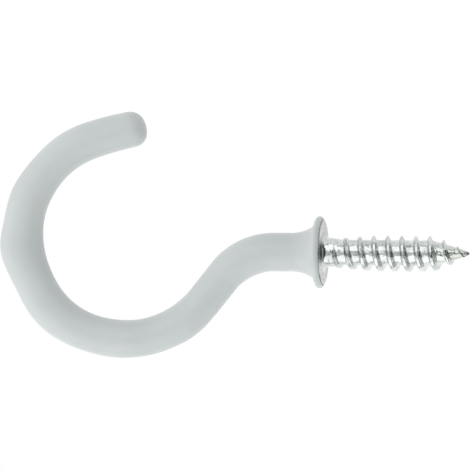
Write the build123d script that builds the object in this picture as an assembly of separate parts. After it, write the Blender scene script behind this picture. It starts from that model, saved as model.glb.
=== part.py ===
from build123d import *

import os
from math import cos, exp, pi, radians, sin, sqrt, tan

# Plastic-coated screw hook, as fixed to a wall. Millimetres and degrees.
# The origin is the centre of the collar's back face, which seats on the wall.
# +X runs along the screw to its point and +Z is up. The hook lies in the XZ plane,
# with its bow towards -X and its mouth upwards.

# Hook wire and its centre line, from the collar to the tail
wire_d = 3.0
neck_len = 5.16
neck_bend_r = 6.19
neck_bend_deg = 51.5
leg_len = 3.12
bow_r = 10.08
bow_deg = 212.6
tail_r = 37.1
tail_deg = 5.6

# Upset collar, and the corner between its back and the screw
collar_d = 6.3
collar_t = 0.46
collar_chamfer = 0.12
root_chamfer = 0.3

# Wood-screw thread and its gimlet point
shank_len = 1.1
screw_len = 14.5
thread_d = 3.5
root_d = 2.56
pitch = 1.4
crest_w = 0.27
flank_deg = 21.5
root_runout_len = 0.8
crest_runout_len = 2.9
point_len = 3.6
point_fullness = 0.8
tip_r = 0.05
thread_stop = 0.35
first_crest_x = 0.69

# Dip-moulded coating. Its flare fills the corner in front of the collar, and it ran thicker
# in lumps on the outside of the bow before it set. A lump is its angle about the bow's
# centre from +X towards +Z, its height and its half-width in degrees.
coat_t = 0.3
neck_coat_t = 0.37
rim_coat_t = 0.4
flare_r = 3.78
flare_len = 2.44
lumps = ((125, 0.1, 14), (160, 0.4, 14), (187, 0.74, 13), (224, 0.3, 16), (264, 0.14, 45))

# How the thread is rooted in the core, and how finely the rounds are sampled
thread_sink = 0.12
thread_dive_turns = 0.2
points_per_turn = 32
bend_step_deg = 14
wire_dome_degs = (0, 45)
coat_dome_degs = (0, 28, 53, 76)
flare_steps = 3
rim_steps = 4

# Sizes that follow from those above
wire_r = wire_d / 2
collar_r = collar_d / 2
thread_r = thread_d / 2
root_r = root_d / 2
point_start = screw_len - point_len
coated_collar_t = collar_t + coat_t


def centre_line():
    """The hook's centre line in the XZ plane: neck, bend, leg, bow and tail."""
    neck = Line((-collar_t, 0), (-neck_len, 0))
    bend = JernArc(neck @ 1, neck % 1, neck_bend_r, neck_bend_deg)
    leg = Line(bend @ 1, bend @ 1 + leg_len * (bend % 1))
    bow = JernArc(leg @ 1, leg % 1, bow_r, -bow_deg)
    tail = JernArc(bow @ 1, bow % 1, tail_r, -tail_deg)
    return [Plane.XZ * edge for edge in (neck, bend, leg, bow, tail)]


def tube(neck_skin, skin, pools, dome_degs):
    """The round wire from the neck to its domed tail, under a skin that can have pools on it."""

    def section(edge, at, radius, outward=0, ahead=0):
        across = Plane(origin=edge @ at, x_dir=(0, 1, 0), z_dir=edge % at)
        return across * Pos(0, outward, ahead) * Circle(radius)

    neck, bend, leg, bow, tail = centre_line()
    radius = wire_r + skin
    sections = [section(neck, at, wire_r + neck_skin) for at in (0, 1)]
    steps = round(neck_bend_deg / bend_step_deg)
    for step in range(1, steps + 1):
        at = step / steps
        sections.append(section(bend, at, wire_r + neck_skin + (skin - neck_skin) * at))
    steps = round(bow_deg / bend_step_deg)
    for step in range(steps + 1):
        angle = 270 + neck_bend_deg - bow_deg * step / steps
        pooled = sum(high * exp(-(((angle - at) / half) ** 2)) for at, high, half in pools)
        sections.append(section(bow, step / steps, radius + pooled / 2, pooled / 2))
    for angle in dome_degs:
        ahead = radius * sin(radians(angle))
        sections.append(section(tail, 1, radius * cos(radians(angle)), 0, ahead))
    return loft(sections, ruled=True)


def turned(outline):
    """A solid turned about the screw's axis, from the closed outline of its half section."""
    return revolve(make_face(Plane.XZ * outline), Axis.X)


def core_radius(x):
    """The radius of the shank, the thread's root and the point, at a distance from the wall."""
    if x < shank_len:
        return wire_r
    if x < shank_len + root_runout_len:
        return wire_r + (root_r - wire_r) * (x - shank_len) / root_runout_len
    return root_r * min(1, (screw_len - x) / point_len)


def crest_radius(x):
    """The thread's outside radius: it grows out of the shank and narrows to the point."""
    if x > point_start:
        return thread_r * ((screw_len - x) / point_len) ** point_fullness
    return wire_r + (thread_r - wire_r) * min(1, (x - shank_len) / crest_runout_len)


def thread_section(turns, dive):
    """The four corners of the thread's ridge at a number of turns from the wall."""
    x = pitch * turns
    crest = crest_radius(x) - dive
    crest_half = crest_w / 2 * crest / thread_r
    foot_half = crest_half + (crest - core_radius(x) + thread_sink) * tan(radians(flank_deg))
    corners = []
    for offset in (-foot_half, -crest_half, crest_half, foot_half):
        radius = crest
        if abs(offset) == foot_half:
            core = core_radius(x + offset)
            radius = max(core - thread_sink, core / 2)
        angle = 2 * pi * (x - first_crest_x) / pitch
        corners.append((x + offset, -radius * sin(angle), radius * cos(angle)))
    return corners


def thread():
    """The right-hand thread as solid ridges of about a turn each, sunk into the core."""
    start = shank_len / pitch - thread_dive_turns / 2
    length = (screw_len - thread_stop) / pitch - start
    ridge_count = round(length)
    points = ridge_count * points_per_turn
    sections = []
    for point in range(points + 1):
        turned_by = length * point / points
        dive = thread_sink / 2 * max(0, 1 - turned_by / thread_dive_turns) ** 2
        sections.append(thread_section(start + turned_by, dive))
    ridges = []
    for first in range(0, points, points_per_turn):
        span = sections[first : first + points_per_turn + 1]
        rails = [Edge.make_spline(corner) for corner in zip(*span)]
        pairs = zip(rails, rails[1:] + rails[:1])
        sides = [Face.make_surface_from_curves(one, other) for one, other in pairs]
        ends = [Face(Wire.make_polygon(corners)) for corners in (span[0], span[-1])]
        ridges.append(Solid(Shell(sides + ends)))
    return ridges


def steel_without_thread():
    """The wire of the hook and its rounded tail, with all that is turned at the collar."""
    rim = collar_r - collar_chamfer
    half_section = Polyline(
        (-neck_len, 0),
        (-neck_len, wire_r),
        (-collar_t, wire_r),
        (-collar_t, rim),
        (-collar_t + collar_chamfer, collar_r),
        (-collar_chamfer, collar_r),
        (0, rim),
        (0, wire_r + root_chamfer),
        (root_chamfer, wire_r),
        (shank_len, wire_r),
        (shank_len + root_runout_len, root_r),
        (point_start, root_r),
        (screw_len, tip_r),
        (screw_len, 0),
        close=True,
    )
    return turned(half_section) + tube(0, 0, (), wire_dome_degs)


def coating():
    """The plastic skin with the steel still in it: rim, flare and neck, and the hook's tube."""
    neck_r = wire_r + neck_coat_t
    flare_start = -coated_collar_t - flare_len
    edge_r = coated_collar_t / 2
    edge_r_at = collar_r + rim_coat_t - edge_r
    outline = [(0, 0), (-neck_len, 0), (-neck_len, neck_r)]
    for step in range(flare_steps + 1):
        x = flare_len * step / flare_steps
        outline.append((flare_start + x, neck_r + flare_r - sqrt(flare_r**2 - x**2)))
    for step in range(rim_steps + 1):
        angle = pi * (1 - step / rim_steps)
        outline.append((edge_r * (cos(angle) - 1), edge_r_at + edge_r * sin(angle)))
    return turned(Polyline(*outline, close=True)) + tube(neck_coat_t, coat_t, lumps, coat_dome_degs)


bare_steel = steel_without_thread()
steel_hook = bare_steel
for ridge in thread():
    steel_hook += ridge
plastic_coating = coating() - bare_steel

os.makedirs("parts", exist_ok=True)
export_step(steel_hook, "parts/steel_hook.step")
export_step(plastic_coating, "parts/plastic_coating.step")
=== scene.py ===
"""Looks of the plastic-coated screw hook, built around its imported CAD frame."""

from math import asin, cos, degrees, exp, floor, pi, radians, sin, sqrt, tan

import bmesh
import bpy
from mathutils import Matrix, Vector, noise


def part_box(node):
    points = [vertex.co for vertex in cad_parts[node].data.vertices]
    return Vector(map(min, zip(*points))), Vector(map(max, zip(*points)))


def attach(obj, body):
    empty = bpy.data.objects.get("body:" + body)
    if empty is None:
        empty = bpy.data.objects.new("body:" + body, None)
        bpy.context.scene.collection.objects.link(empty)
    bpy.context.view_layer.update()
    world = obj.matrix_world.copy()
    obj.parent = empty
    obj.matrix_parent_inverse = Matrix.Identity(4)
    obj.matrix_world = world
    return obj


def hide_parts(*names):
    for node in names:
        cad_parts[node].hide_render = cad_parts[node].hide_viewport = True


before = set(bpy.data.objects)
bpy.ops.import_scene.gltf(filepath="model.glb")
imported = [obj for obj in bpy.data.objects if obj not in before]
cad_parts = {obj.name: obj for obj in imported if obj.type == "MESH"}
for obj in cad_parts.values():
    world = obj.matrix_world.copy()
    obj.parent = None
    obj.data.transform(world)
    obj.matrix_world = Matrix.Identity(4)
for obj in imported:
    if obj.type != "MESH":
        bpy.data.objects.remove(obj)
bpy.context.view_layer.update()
_, steel_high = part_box("steel_hook")
_, coat_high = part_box("plastic_coating")

# The steel's sizes in millimetres and degrees. Those that the frame shows are read from it.
MM = 0.001
SCREW_LEN = steel_high.x / MM
COLLAR_R = steel_high.y / MM
WIRE_R = 1.5
NECK_LEN = 5.16
NECK_BEND_R = 6.19
NECK_BEND_DEG = 51.5
LEG_LEN = 3.12
BOW_R = 10.08
BOW_DEG = 212.6
TAIL_R = 37.1
TAIL_DEG = 5.6
COLLAR_T = 0.46
COLLAR_EDGE_R = 0.08
ROOT_FILLET_R = 0.6

# The tail's end: the power that its rings follow, where 1 is round and less is blunter, and
# how far the coating's end leans to the inside of the bow
DOME_BLUNTNESS = 0.8
DOME_LEAN = 0.09

# Coating: its skin, its flare and its lip. The flare's arc ends in front of the rim, and the
# curve that joins them is pulled along both. The lip has a bevel on its inner edge.
COAT_T = 0.3
NECK_COAT_T = 0.4
COATED_COLLAR_T = 0.76
RIM_R = coat_high.y / MM
FLARE_R = 3.78
FLARE_LEN = 2.44
FLARE_ARC_END = 1.22
FLARE_PULL = 0.3
RIM_ARC_DEG = 172
LIP_SETBACK = 0.11
LIP_BEVEL = 0.02

# Lumps and thin places on the outside and inside of the bow, each being its angle about the
# bow's centre, its height and its half-width in degrees. The neck's bend is thicker and sags.
OUTER_LUMPS = (
    (100, -0.13, 5),
    (125, 0.1, 14),
    (160, 0.33, 14),
    (187, 0.64, 13),
    (226, 0.37, 18),
    (264, 0.1, 45),
    (304, 0.08, 10),
    (318, -0.05, 5),
)
INNER_LUMPS = ((100, 0.07, 45), (200, 0.13, 22), (264, 0.06, 14), (330, -0.11, 12))
BEND_THICKENING = 0.06
BEND_SAG = 0.035

# Slow waves of the dipped skin, sunk by a share of their height to stay within the CAD skin
DIP_WAVE = 0.035
DIP_WAVE_LENGTH = 3.2
DIP_WAVE_SINK = 0.5

# Rolled thread. The allowance makes up for what its soft corners take off the crests.
SHANK_R = 1.41
SHANK_LEN = 0.95
THREAD_R = 1.75
ROOT_R = 1.24
PITCH = 1.4
CREST_W = 0.21
LEAST_CREST_R = 0.2
FLANK_DEG = 21.5
ROOT_RUNOUT_LEN = 0.5
CREST_RUNOUT_LEN = 3.6
POINT_LEN = 3.6
POINT_FULLNESS = 0.75
POINT_CORE_FULLNESS = 0.9
TIP_R = 0.1
FIRST_CREST_X = 0.77
THREAD_FROM = 0.62
CORNER_SOFTNESS = 0.05
CREST_SOFTNESS = 0.03
CREST_ALLOWANCE = 0.012

# Where the rolling starts, the crests are wide and split by a seam, which is faint further on,
# with a low stray ridge between them. The crests are wider below than on top, the whole thread
# lies a little low on its core, and the screw leans downwards.
START_X = 2.0
START_LEN = 1.5
START_WIDENING = 0.14
SEAM_DEPTH = 0.16
SEAM_W = 0.06
SEAM_ELSEWHERE = 0.12
SEAM_ROUGHNESS = 0.7
STRAY_X = 1.3
STRAY_LEN = 0.5
STRAY_W = 0.17
STRAY_HEIGHT = 0.13
STRAY_EVENNESS = 0.7
UNDERSIDE_WIDENING = 0.15
OFF_CENTRE = 0.07
LEAN_DEG = 0.35

# Marks of rolling, which are ragged at the point, and the scales of each noise along the axis
# and across it, per millimetre
ROLLING_MARKS = 0.035
FINE_MARKS = 0.4
POINT_RAGGEDNESS = 1.6
START_NOISE = (1.6, 2.2)
MARKS_NOISE = (3.1, 3.4)
FINE_NOISE = (9, 9)

# Mesh fineness. The profile's points gather at the crest, by an even and a cubic spread, and
# the collar's flat faces have rings a little way in from their rounded edges.
RING_POINTS = 96
BEND_STEP_DEG = 1.6
WIRE_STEP_DEG = 6.0
COAT_DOME_STEPS = 16
WIRE_DOME_STEPS = 6
NECK_STEPS = 8
FLARE_STEPS = 16
JOIN_STEPS = 12
RIM_STEPS = 20
EDGE_STEPS = 4
FILLET_STEPS = 8
PROFILE_POINTS = 30
PROFILE_SPREAD = (0.45, 2.2)
FRONT_FLAT_INSET = 0.1
BACK_FLAT_INSET = 0.08
WELD_DISTANCE = 0.0005
SLIVER_LENGTH = 0.0002

# Materials: the colours that their tones run between, with the place of each on a noise's
# scale, and the colour of the point's yellowish tint with painted shade
PLASTIC_TONES = ((0.3, (0.569, 0.612, 0.609, 1)), (0.7, (0.604, 0.639, 0.636, 1)))
ZINC_TONES = ((0.35, (0.425, 0.45, 0.442, 1)), (0.6, (0.60, 0.625, 0.615, 1)))
POINT_TINT_AND_SHADE = (0.40, 0.42, 0.34, 1)
FLOOR_TONE = (0.9, 0.9, 0.9, 1)

# Along X: where the point's yellowish tint and painted shade set in and their full share, and
# where painted shade darkens the steel in the groove under the plastic's lip and where the steel
# darkens at the very tip, each with the share of its colour that is left
POINT_TINT_AND_SHADE_LIMITS = (11.2 * MM, 13.8 * MM)
POINT_TINT_AND_SHADE_SHARE = 0.4
LIP_SHADE_LIMITS = (-0.07 * MM, -0.02 * MM)
LIP_SHADE_TONE = 0.3
TIP_LIMITS = (13.95 * MM, 14.3 * MM)
TIP_TONE = 0.35

# The camera, with how far the picture's centre lies from the origin, to the right and up
VIEW_AZIMUTH = radians(9.3)
VIEW_ROLL = radians(0.2)
VIEW_WIDTH = 46.3 * MM
VIEW_DISTANCE = 0.6
VIEW_RIGHT = -8.77 * MM
VIEW_UP = 1.7 * MM

# The floor and the lamps, in metres and watts. One lamp lights the floor alone, so that light
# rises from it, and the other brightens the outside of the bow.
FLOOR_Z = -0.12
FLOOR_SIZE = 3.0
FLOOR_LAMP = {"size": 0.3, "power": 0.145, "place": (-0.06, -0.02, -0.045)}
LEFT_LAMP = {"size": 0.2, "power": 0.15, "place": (-0.26, -0.08, 0.03), "aim": (0, 0, 0)}

# Diffuse light from the world, and how it changes towards the screw's end and upwards
DIFFUSE_LIGHT = 0.86
DIFFUSE_RISE = (-0.22, -0.08)

# What reflections see around the hook, as seen along the screw: the angle above the
# camera's side and the brightness there. A dark gap at eye level lies between two white
# panels, whose far edges show as dark lines.
MIRRORED_LIGHT = 2.1
SEEN_AROUND = (
    (-180, 0.46),
    (-160, 0.62),
    (-107, 0.66),
    (-102, 0.28),
    (-97, 0.28),
    (-91, 0.86),
    (-34, 0.86),
    (-26, 0.44),
    (-6, 0.35),
    (9, 0.4),
    (16, 0.8),
    (58, 0.8),
    (64, 0.26),
    (69, 0.26),
    (76, 0.54),
    (155, 0.56),
    (180, 0.34),
)

# The panels end in a dark gap to the right and in a fainter one to the left, both at eye level.
# Neither reaches behind the hook, and half the light comes back right at their outer ends. The
# limits are those of the reflected direction's parts.
GAP_DARKNESS = 0.95
GAP_SIDES = (0.35, 0.7)
GAP_ON_THE_LEFT = 0.35
GAP_ENDS = (0.965, 0.99)
LIGHT_AT_THE_ENDS = 0.5
GAP_HEIGHT = (0.4, 0.62)
GAP_BEHIND = (0.5, 0.75)
GAP_SLANT = 0.2

# The colour sockets of Blender's Mix node, by number
MIX_ONE, MIX_TWO, MIX_RESULT = 6, 7, 2


def arc(start, heading, radius, sweep):
    """The end of an arc in the XZ plane, and the heading there. A negative sweep turns right."""
    signed = radius if sweep > 0 else -radius
    centre = start + signed * Vector((-sin(heading), 0, cos(heading)))
    turned = heading + sweep
    return centre + signed * Vector((sin(turned), 0, -cos(turned))), turned


def hook_stations(step_deg):
    """Rings' places along the centre line from the neck to the tail: centre, heading and share
    of the way from the thicker skin of the neck to that of the bow."""
    stations = [(Vector((-NECK_LEN, 0, 0)), pi, 0.0)]

    def bend(radius, sweep_deg, thinning=False):
        place, heading, _ = stations[-1]
        steps = max(1, round(abs(sweep_deg) / step_deg))
        for step in range(1, steps + 1):
            centre, turned = arc(place, heading, radius, radians(sweep_deg) * step / steps)
            stations.append((centre, turned, step / steps if thinning else 1.0))

    def run(length):
        place, heading, _ = stations[-1]
        along = Vector((cos(heading), 0, sin(heading)))
        steps = max(2, round(length / (radians(step_deg) * BOW_R)))
        for step in range(1, steps + 1):
            stations.append((place + along * length * step / steps, heading, 1.0))

    bend(NECK_BEND_R, NECK_BEND_DEG, thinning=True)
    run(LEG_LEN)
    bend(BOW_R, -BOW_DEG)
    bend(TAIL_R, -TAIL_DEG)
    return stations


def ring(centre, heading, radius, outward=0.0):
    """A ring of points across the centre line, moved towards the outside of the bow."""
    side = Vector((-sin(heading), 0, cos(heading)))
    points = []
    for number in range(RING_POINTS):
        around = 2 * pi * number / RING_POINTS
        across = side * (outward + radius * cos(around))
        points.append(centre + across + Vector((0, radius * sin(around), 0)))
    return points


def turned_rings(outline):
    """Rings about the screw's axis, from an outline of distances from the wall and radii."""
    return [ring(Vector((x, 0, 0)), pi, radius) for x, radius in outline]


def tail_dome(stations, radius, steps, outward=0.0, lean=0.0):
    """Rings that close a tube with a blunt dome at the tail, which can lean to the inside of the
    bow, and its last point."""
    centre, heading, _ = stations[-1]
    ahead = Vector((cos(heading), 0, sin(heading)))
    side = Vector((-sin(heading), 0, cos(heading)))
    rings = []
    for step in range(1, steps):
        angle = pi / 2 * step / steps
        place = centre + ahead * radius * sin(angle) ** DOME_BLUNTNESS
        moved = outward - lean * sin(angle)
        rings.append(ring(place, heading, radius * cos(angle) ** DOME_BLUNTNESS, moved))
    return rings, centre + ahead * radius + side * (outward - lean)


def wire_rings():
    """Rings of the steel wire from the neck to its domed tail, and the wire's last point."""
    stations = hook_stations(WIRE_STEP_DEG)
    dome, tip = tail_dome(stations, WIRE_R, WIRE_DOME_STEPS)
    return [ring(centre, heading, WIRE_R) for centre, heading, _ in stations] + dome, tip


def bridge(mesh, row, following):
    """A band of faces between two rings of vertices."""
    for one in range(RING_POINTS):
        two = (one + 1) % RING_POINTS
        mesh.faces.new((row[one], row[two], following[two], following[one]))


def skin_faces(mesh, rings):
    """Joins each ring to the next, and returns the first and last rings of the mesh's vertices."""
    rows = [[mesh.verts.new(point * MM) for point in points] for points in rings]
    for row, following in zip(rows, rows[1:]):
        bridge(mesh, row, following)
    return rows[0], rows[-1]


def cap(mesh, row, tip):
    """Closes a ring with a fan of faces to its tip."""
    point = mesh.verts.new(tip * MM)
    for one, two in zip(row, row[1:] + row[:1]):
        mesh.faces.new((one, two, point))


def finish_piece(mesh, name, material, node):
    """Turns a built mesh into a smooth piece that stands for a CAD node."""
    bmesh.ops.remove_doubles(mesh, verts=mesh.verts, dist=WELD_DISTANCE * MM)
    bmesh.ops.dissolve_degenerate(mesh, edges=mesh.edges, dist=SLIVER_LENGTH * MM)
    bmesh.ops.recalc_face_normals(mesh, faces=mesh.faces)
    data = bpy.data.meshes.new(name)
    mesh.to_mesh(data)
    mesh.free()
    data.shade_smooth()
    data.materials.append(material)
    piece = bpy.data.objects.new(name, data)
    bpy.context.scene.collection.objects.link(piece)
    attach(piece, "root")
    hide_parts(node)


# Coating


def pooled_at(angle, lumps):
    """How much further the coating stands out at an angle about the bow's centre, in degrees."""
    return sum(height * exp(-(((angle - centre) / width) ** 2)) for centre, height, width in lumps)


def skin_at(heading, share):
    """The coating's outside radius at a place of the hook, and how far its ring is moved out."""
    angle = degrees(heading) + 90 if share == 1 else 270 + NECK_BEND_DEG
    outside, inside = (share * pooled_at(angle, lumps) for lumps in (OUTER_LUMPS, INNER_LUMPS))
    skin = NECK_COAT_T + (COAT_T - NECK_COAT_T) * share
    bending = sin(pi * share)
    radius = WIRE_R + skin + (outside + inside) / 2 + BEND_THICKENING * bending
    return radius, (outside - inside) / 2 + BEND_SAG * bending


def pulled_curve(start, start_pull, end_pull, end, share):
    """A point at a share of the cubic curve between two places, drawn by a pull at each."""
    left = 1 - share
    begun = left**3 * start + 3 * share * left**2 * start_pull
    return begun + 3 * share**2 * left * end_pull + share**3 * end


def flare_outline():
    """The coating's outline from the neck over the flare and the rim to its lip on the collar."""
    neck_r = WIRE_R + NECK_COAT_T
    start = -COATED_COLLAR_T - FLARE_LEN
    outline = []
    for step in range(NECK_STEPS):
        outline.append((-NECK_LEN + (start + NECK_LEN) * step / NECK_STEPS, neck_r))
    arc_len = FLARE_LEN - (FLARE_ARC_END - COATED_COLLAR_T)
    for step in range(FLARE_STEPS + 1):
        x = arc_len * step / FLARE_STEPS
        outline.append((start + x, neck_r + FLARE_R - sqrt(FLARE_R**2 - x**2)))
    edge_r = (COATED_COLLAR_T - LIP_SETBACK) / 2
    rim_centre = Vector((-edge_r - LIP_SETBACK, RIM_R - edge_r))
    rim_from = radians(RIM_ARC_DEG)
    low = Vector(outline[-1])
    rise = asin(arc_len / FLARE_R)
    low_pull = low + FLARE_PULL * Vector((cos(rise), sin(rise)))
    high = rim_centre + edge_r * Vector((cos(rim_from), sin(rim_from)))
    high_pull = high + FLARE_PULL * Vector((-sin(rim_from), cos(rim_from)))
    for step in range(1, JOIN_STEPS):
        outline.append(tuple(pulled_curve(low, low_pull, high_pull, high, step / JOIN_STEPS)))
    for step in range(RIM_STEPS + 1):
        angle = rim_from * (1 - step / RIM_STEPS)
        outline.append((rim_centre.x + edge_r * cos(angle), rim_centre.y + edge_r * sin(angle)))
    return outline


def collar_pocket():
    """The hollow that the coating has round the collar, from its lip in to the wire."""
    return [
        (-LIP_SETBACK - LIP_BEVEL, COLLAR_R),
        (-COLLAR_T + COLLAR_EDGE_R, COLLAR_R),
        (-COLLAR_T, COLLAR_R - COLLAR_EDGE_R),
        (-COLLAR_T, WIRE_R),
    ]


def dip_waved(points, centre):
    """A ring with the slow unevenness of a dipped skin, which lies within the CAD skin's size."""
    waved = []
    for point in points:
        wave = noise.noise(point / DIP_WAVE_LENGTH) - DIP_WAVE_SINK
        waved.append(point + (point - centre).normalized() * DIP_WAVE * wave)
    return waved


def coating(material):
    """The dipped skin from its lip on the collar to the tail, hollow where the steel is."""
    mesh = bmesh.new()
    stations = hook_stations(BEND_STEP_DEG)
    rings = turned_rings(reversed(flare_outline()))
    for centre, heading, share in stations[1:]:
        points = ring(centre, heading, *skin_at(heading, share))
        rings.append(dip_waved(points, centre))
    centre, heading, share = stations[-1]
    radius, outward = skin_at(heading, share)
    dome, tip = tail_dome(stations, radius, COAT_DOME_STEPS, outward, DOME_LEAN)
    rings += [dip_waved(points, centre) for points in dome]
    lip, last = skin_faces(mesh, rings)
    cap(mesh, last, tip)
    wire, tip = wire_rings()
    first, last = skin_faces(mesh, turned_rings(collar_pocket()) + wire)
    cap(mesh, last, tip)
    bridge(mesh, lip, first)
    finish_piece(mesh, "coating_skin", material, "plastic_coating")


# Screw


def core_radius(x):
    """The radius of the shank, the thread's root and the point."""
    if x < SHANK_LEN:
        return SHANK_R
    if x < SHANK_LEN + ROOT_RUNOUT_LEN:
        return SHANK_R + (ROOT_R - SHANK_R) * (x - SHANK_LEN) / ROOT_RUNOUT_LEN
    return TIP_R + (ROOT_R - TIP_R) * min(1, (SCREW_LEN - x) / POINT_LEN) ** POINT_CORE_FULLNESS


def crest_radius(x):
    """The thread's outside radius: it grows out of the shank and narrows to the point."""
    if x > SCREW_LEN - POINT_LEN:
        return THREAD_R * (max(0, SCREW_LEN - x) / POINT_LEN) ** POINT_FULLNESS
    return SHANK_R + (THREAD_R - SHANK_R) * min(1, (x - SHANK_LEN) / CREST_RUNOUT_LEN)


def soft_larger(one, two, softness):
    """The larger of two values, with the corner between them rounded."""
    return (one + two + sqrt((one - two) ** 2 + softness**2)) / 2


def rolled_noise(x, around, radius, scales):
    """Noise over the screw's surface, at a radius and at its scales along and across."""
    along, across = scales
    reach = radius * across
    return noise.noise(Vector((x * along, reach * cos(around), reach * sin(around))))


def ridge_radius(x, around, offset, starting, rough):
    """The radius of the thread's ridge at a place, and at an offset from its middle."""
    crest = crest_radius(x)
    underside = (0.5 - 0.5 * cos(around)) ** 2
    width = CREST_W + START_WIDENING * starting + UNDERSIDE_WIDENING * underside
    half = width / 2 * max(crest, LEAST_CREST_R) / THREAD_R
    past = soft_larger(abs(offset) - half, 0, CREST_SOFTNESS)
    radius = crest + CREST_ALLOWANCE - past / tan(radians(FLANK_DEG))
    radius -= OFF_CENTRE * cos(around) * min(1, crest / THREAD_R)
    seam = (1 + SEAM_ROUGHNESS * rough) * exp(-((offset / SEAM_W) ** 2))
    return radius - SEAM_DEPTH * (SEAM_ELSEWHERE + starting) * seam


def thread_radius(x, around):
    """The rolled surface's radius at a distance from the wall and an angle about the axis."""
    turns = (x - FIRST_CREST_X) / PITCH - around / (2 * pi)
    offset = (turns - floor(turns + 0.5)) * PITCH
    starting = exp(-(((x - START_X) / START_LEN) ** 2))
    rough = rolled_noise(x, around, 1, START_NOISE)
    ridge = ridge_radius(x, around, offset, starting, rough)
    between = PITCH / 2 - abs(offset)
    stray = exp(-((between / STRAY_W) ** 2) - ((x - STRAY_X) / STRAY_LEN) ** 2)
    core = core_radius(x) + STRAY_HEIGHT * stray * (STRAY_EVENNESS + rough)
    radius = soft_larger(core, ridge, CORNER_SOFTNESS)
    marks = rolled_noise(x, around, radius, MARKS_NOISE)
    marks += FINE_MARKS * rolled_noise(x, around, radius, FINE_NOISE)
    ragged = 1 + POINT_RAGGEDNESS * max(0, (x - SCREW_LEN) / POINT_LEN + 1)
    return radius + ROLLING_MARKS * ragged * marks * min(1, radius)


def leaning(place):
    """A point of the screw, lowered by the screw's slight lean away from the neck's line."""
    return place - Vector((0, 0, (place.x - THREAD_FROM) * tan(radians(LEAN_DEG))))


def thread_point(x, around):
    """A point of the threaded surface, which is round and plain at both of its ends."""
    if x == THREAD_FROM:
        radius = SHANK_R
    elif x == SCREW_LEN:
        radius = TIP_R
    else:
        radius = thread_radius(x, around)
    return leaning(Vector((x, -radius * sin(around), radius * cos(around))))


def thread_faces(mesh):
    """The threaded surface as one strip that follows the helix, cut off square at both ends."""
    first = floor((THREAD_FROM - PITCH / 2 - FIRST_CREST_X) / PITCH * RING_POINTS) - 1
    last = floor((SCREW_LEN + PITCH / 2 - FIRST_CREST_X) / PITCH * RING_POINTS) + 2
    even, cubic = PROFILE_SPREAD
    shares = [number / PROFILE_POINTS - 0.5 for number in range(PROFILE_POINTS + 1)]
    offsets = [PITCH * (even * share + cubic * share**3) for share in shares]
    rows = []
    for number in range(first, last + 1):
        around = 2 * pi * (number % RING_POINTS) / RING_POINTS
        row = []
        for offset in offsets:
            x = FIRST_CREST_X + PITCH * number / RING_POINTS + offset
            point = thread_point(min(SCREW_LEN, max(THREAD_FROM, x)), around)
            row.append(mesh.verts.new(point * MM))
        rows.append(row)
    for row, following in zip(rows, rows[1:]):
        for one in range(PROFILE_POINTS):
            mesh.faces.new((row[one], row[one + 1], following[one + 1], following[one]))


def collar_outline():
    """The steel's outline from the wire over the collar to the shank."""
    edge = COLLAR_R - COLLAR_EDGE_R
    outline = [(-COLLAR_T, WIRE_R), (-COLLAR_T, edge - FRONT_FLAT_INSET)]
    for centre_x, turn_from in ((-COLLAR_T + COLLAR_EDGE_R, 180), (-COLLAR_EDGE_R, 90)):
        for step in range(EDGE_STEPS + 1):
            angle = radians(turn_from - 90 * step / EDGE_STEPS)
            x = centre_x + COLLAR_EDGE_R * cos(angle)
            outline.append((x, edge + COLLAR_EDGE_R * sin(angle)))
    outline.append((0, edge - BACK_FLAT_INSET))
    fillet_top = SHANK_R + ROOT_FILLET_R
    outline.append((0, fillet_top + BACK_FLAT_INSET))
    for step in range(FILLET_STEPS + 1):
        angle = radians(90 * step / FILLET_STEPS)
        outline.append((ROOT_FILLET_R * (1 - cos(angle)), fillet_top - ROOT_FILLET_R * sin(angle)))
    outline.append((THREAD_FROM, SHANK_R))
    return outline


def steel(material):
    """The cold-formed wire with its collar, and the screw rolled on its end."""
    mesh = bmesh.new()
    wire, tip = wire_rings()
    _, last = skin_faces(mesh, turned_rings(reversed(collar_outline())) + wire)
    cap(mesh, last, tip)
    thread_faces(mesh)
    tip = Vector((SCREW_LEN, 0, 0))
    point = [mesh.verts.new(leaning(place) * MM) for place in ring(tip, pi, TIP_R)]
    cap(mesh, point, leaning(tip))
    finish_piece(mesh, "steel_screw", material, "steel_hook")


# Materials


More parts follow.
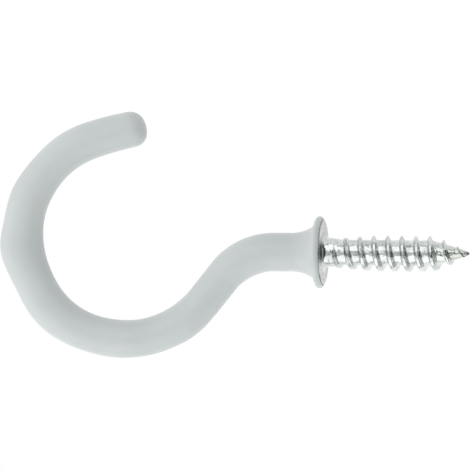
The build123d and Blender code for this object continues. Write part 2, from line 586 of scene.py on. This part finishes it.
class Nodes:
    """Adds nodes to a node tree and feeds them with values or with other nodes' sockets."""

    def __init__(self, tree):
        self.tree = tree

    def feed(self, socket, value):
        """Links a socket to another, or sets its value."""
        if isinstance(value, bpy.types.NodeSocket):
            self.tree.links.new(value, socket)
        else:
            socket.default_value = value

    def add(self, kind, inputs=None, **settings):
        """A new node with its settings and what it is fed with."""
        node = self.tree.nodes.new(kind)
        for key, value in settings.items():
            setattr(node, key, value)
        for key, value in (inputs or {}).items():
            self.feed(node.inputs[key], value)
        return node

    def place(self):
        """The place on the surface in the object's own frame, in metres."""
        return self.add("ShaderNodeTexCoord").outputs["Object"]

    def calc(self, operation, *values):
        """The result of a calculation."""
        inputs = dict(enumerate(values))
        return self.add("ShaderNodeMath", inputs, operation=operation).outputs[0]

    def spread(self, value, limits, results=(0.0, 1.0), interpolation="LINEAR"):
        """A value that runs between two limits, mapped to run between two results."""
        inputs = {"Value": value}
        inputs["From Min"], inputs["From Max"] = limits
        inputs["To Min"], inputs["To Max"] = results
        node = self.add("ShaderNodeMapRange", inputs, interpolation_type=interpolation)
        return node.outputs["Result"]

    def noise(self, scale, detail, roughness=0.5):
        """Noise through the object, with its scale per metre."""
        inputs = {"Vector": self.place(), "Scale": scale, "Detail": detail, "Roughness": roughness}
        return self.add("ShaderNodeTexNoise", inputs).outputs["Fac"]

    def tones(self, value, stops):
        """The colour at a value between 0 and 1 on a scale of stops, each a place and a colour."""
        node = self.add("ShaderNodeValToRGB", {"Fac": value})
        elements = node.color_ramp.elements
        while len(elements) < len(stops):
            elements.new(0.5)
        for element, (position, colour) in zip(elements, stops):
            element.position = position
            element.color = colour
        return node.outputs["Color"]

    def mixed(self, one, two, share, blend="MIX"):
        """Two colours, mixed or blended by a share of the second."""
        inputs = {"Factor": share, MIX_ONE: one, MIX_TWO: two}
        node = self.add("ShaderNodeMix", inputs, data_type="RGBA", blend_type=blend)
        return node.outputs[MIX_RESULT]

    def bumps(self, height, strength, depth):
        """The surface's direction under bumps of a depth in metres."""
        inputs = {"Height": height, "Strength": strength, "Distance": depth}
        return self.add("ShaderNodeBump", inputs).outputs["Normal"]


def new_material(name):
    """A new material, with its nodes and the sockets of its shader."""
    material = bpy.data.materials.new(name)
    material.use_nodes = True
    shader = material.node_tree.nodes["Principled BSDF"]
    return material, Nodes(material.node_tree), shader.inputs


def soft_plastic():
    """Satin vinyl, pale grey with a breath of green, and a faint orange-peel from the dip."""
    material, nodes, sockets = new_material("soft_plastic_skin")
    clouds = nodes.noise(scale=260.0, detail=3.0)
    peel = nodes.noise(scale=2300.0, detail=2.0)
    nodes.feed(sockets["Base Color"], nodes.tones(clouds, PLASTIC_TONES))
    nodes.feed(sockets["Roughness"], nodes.spread(clouds, (0.0, 1.0), (0.36, 0.46)))
    nodes.feed(sockets["Normal"], nodes.bumps(peel, strength=0.06, depth=0.1 * MM))
    sockets["IOR"].default_value = 1.48
    return material


def bright_zinc():
    """Bright zinc plating with the fine marks of rolling. Painted shade darkens it in the groove
    under the plastic's lip, it is dark at the very tip, and the point has a yellowish tint with
    painted shade."""
    material, nodes, sockets = new_material("zinc_plated_steel")
    patches = nodes.noise(scale=900.0, detail=4.0, roughness=0.6)
    marks = nodes.noise(scale=2600.0, detail=3.0)
    along = nodes.add("ShaderNodeSeparateXYZ", {"Vector": nodes.place()}).outputs["X"]
    # Painted shade with a yellowish tint: the point turns darker towards its end
    tint_and_shade = nodes.spread(along, POINT_TINT_AND_SHADE_LIMITS, (0.0, POINT_TINT_AND_SHADE_SHARE))
    plated = nodes.mixed(nodes.tones(patches, ZINC_TONES), POINT_TINT_AND_SHADE, tint_and_shade)
    # Painted shade: the steel is darkened in the groove under the plastic's lip
    lip_shade = nodes.spread(along, LIP_SHADE_LIMITS, (LIP_SHADE_TONE, 1.0))
    tip = nodes.spread(along, TIP_LIMITS, (1.0, TIP_TONE))
    lip_shade_and_dark_tip = nodes.calc("MINIMUM", lip_shade, tip)
    nodes.feed(sockets["Base Color"], nodes.mixed(plated, lip_shade_and_dark_tip, 1.0, blend="MULTIPLY"))
    nodes.feed(sockets["Roughness"], nodes.spread(patches, (0.0, 1.0), (0.2, 0.07)))
    nodes.feed(sockets["Normal"], nodes.bumps(marks, strength=0.5, depth=0.05 * MM))
    sockets["Metallic"].default_value = 1.0
    return material


# Studio


def pale_floor():
    """A white floor well below the hook, which shows only in views from above."""
    material, nodes, sockets = new_material("studio_floor")
    grain = nodes.noise(scale=300.0, detail=2.0)
    nodes.feed(sockets["Normal"], nodes.bumps(grain, strength=0.02, depth=0.1 * MM))
    sockets["Base Color"].default_value = FLOOR_TONE
    sockets["Roughness"].default_value = 0.9
    bpy.ops.mesh.primitive_plane_add(size=FLOOR_SIZE, location=(0, 0, FLOOR_Z))
    ground = bpy.context.object
    ground.name = "studio_floor"
    ground.data.materials.append(material)
    ground.visible_glossy = False


def mirrored_light(nodes, x, y, z):
    """The brightness that reflections see in a direction."""
    above = nodes.calc("ARCTAN2", z, nodes.calc("MULTIPLY", y, -1.0))
    turn = nodes.calc("MULTIPLY_ADD", above, 1 / (2 * pi), 0.5)
    stops = [(angle / 360 + 0.5, (light, light, light, 1)) for angle, light in SEEN_AROUND]
    around = nodes.calc("MULTIPLY", nodes.tones(turn, stops), MIRRORED_LIGHT)

    def smooth(value, limits):
        return nodes.spread(value, limits, interpolation="SMOOTHSTEP")

    leftwards = smooth(nodes.calc("MULTIPLY", x, -1.0), GAP_SIDES)
    sides = nodes.calc("MULTIPLY_ADD", leftwards, GAP_ON_THE_LEFT, smooth(x, GAP_SIDES))
    ends = smooth(nodes.calc("ABSOLUTE", x), GAP_ENDS)
    sides = nodes.calc("MULTIPLY_ADD", ends, -LIGHT_AT_THE_ENDS, sides)
    high = smooth(nodes.calc("ABSOLUTE", z), GAP_HEIGHT)
    behind = smooth(nodes.calc("MULTIPLY_ADD", x, GAP_SLANT, y), GAP_BEHIND)
    gap = nodes.calc("MULTIPLY", sides, nodes.calc("SUBTRACT", 1.0, high))
    gap = nodes.calc("MULTIPLY", gap, nodes.calc("SUBTRACT", 1.0, behind))
    return nodes.calc("MULTIPLY", around, nodes.calc("MULTIPLY_ADD", gap, -GAP_DARKNESS, 1.0))


def studio_world():
    """White behind the hook, and for reflections a studio of white panels with dark gaps."""
    world = bpy.data.worlds.new("studio")
    bpy.context.scene.world = world
    world.use_nodes = True
    nodes = Nodes(world.node_tree)
    direction = nodes.add("ShaderNodeTexCoord").outputs["Generated"]
    x, y, z = nodes.add("ShaderNodeSeparateXYZ", {"Vector": direction}).outputs
    mirrored = mirrored_light(nodes, x, y, z)
    rise = nodes.calc("MULTIPLY", z, DIFFUSE_RISE[1])
    rise = nodes.calc("MULTIPLY_ADD", x, DIFFUSE_RISE[0], rise)
    diffuse = nodes.calc("ADD", DIFFUSE_LIGHT, rise)
    path = nodes.add("ShaderNodeLightPath").outputs
    more = nodes.calc("SUBTRACT", mirrored, diffuse)
    light = nodes.calc("MULTIPLY_ADD", path["Is Glossy Ray"], more, diffuse)
    seen = nodes.calc("MAXIMUM", path["Is Camera Ray"], path["Is Transmission Ray"])
    strength = nodes.calc("MULTIPLY_ADD", seen, nodes.calc("SUBTRACT", 1.0, light), light)
    sockets = world.node_tree.nodes["Background"].inputs
    nodes.feed(sockets["Strength"], strength)
    sockets["Color"].default_value = (1, 1, 1, 1)


def area_lamp(name, size, power, place, aim=None):
    """A soft lamp that no camera or reflection sees, facing down or towards its aim."""
    light = bpy.data.lights.new(name, "AREA")
    light.size = size
    light.energy = power
    lamp = bpy.data.objects.new(name, light)
    lamp.location = place
    if aim:
        towards = Vector(aim) - lamp.location
        lamp.rotation_euler = towards.to_track_quat("-Z", "Y").to_euler()
    lamp.visible_camera = False
    lamp.visible_glossy = False
    bpy.context.scene.collection.objects.link(lamp)


def camera():
    """A camera without perspective, at the photograph's viewing angle and framing."""
    data = bpy.data.cameras.new("camera")
    data.type = "ORTHO"
    data.ortho_scale = VIEW_WIDTH
    holder = bpy.data.objects.new("camera", data)
    back = Vector((sin(VIEW_AZIMUTH), -cos(VIEW_AZIMUTH), 0))
    level_right = Vector((cos(VIEW_AZIMUTH), sin(VIEW_AZIMUTH), 0))
    level_up = Vector((0, 0, 1))
    right = cos(VIEW_ROLL) * level_right + sin(VIEW_ROLL) * level_up
    up = cos(VIEW_ROLL) * level_up - sin(VIEW_ROLL) * level_right
    place = right * VIEW_RIGHT + up * VIEW_UP + back * VIEW_DISTANCE
    turn = Matrix((right, up, back)).transposed().to_4x4()
    holder.matrix_world = Matrix.Translation(place) @ turn
    bpy.context.scene.collection.objects.link(holder)
    bpy.context.scene.camera = holder


camera()
coating(soft_plastic())
steel(bright_zinc())
pale_floor()
studio_world()
area_lamp("floor_lamp", **FLOOR_LAMP)
area_lamp("left_lamp", **LEFT_LAMP)

scene = bpy.context.scene
scene.view_settings.view_transform = "Standard"
